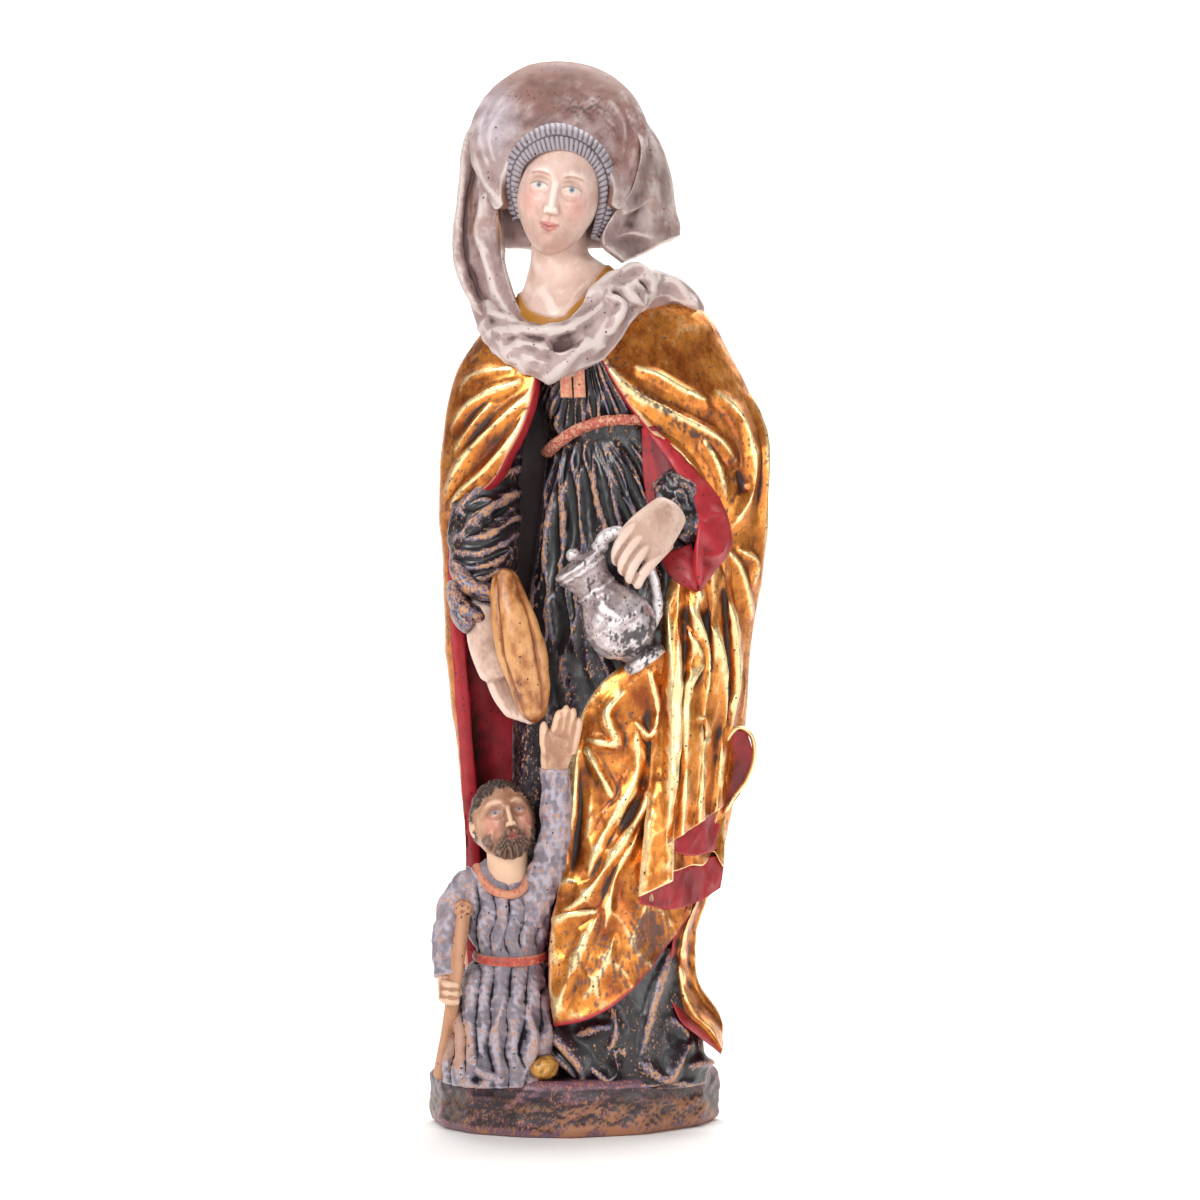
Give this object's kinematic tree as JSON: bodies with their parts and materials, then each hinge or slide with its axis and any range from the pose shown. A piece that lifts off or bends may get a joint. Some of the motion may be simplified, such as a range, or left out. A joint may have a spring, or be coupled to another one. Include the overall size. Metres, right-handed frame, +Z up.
{
  "type": "wooden saint statue",
  "caption": "Carved, painted and gilded wooden saint in a bonnet and wide cloak, holding a jug and a loaf, with a small beggar kneeling on the ground beside her.",
  "frame": {"origin": "middle of the flat underside", "axes": "+Z up, +X to the right as seen from the front, +Y to the back"},
  "size_m": [0.1688, 0.1177, 0.532],
  "materials": {
    "carved_wood": "carved limewood, polychrome and aged leaf gilding over bole, satin"
  },
  "bodies": {
    "root": {"saint_statue": "carved_wood"}
  },
  "joints": []
}
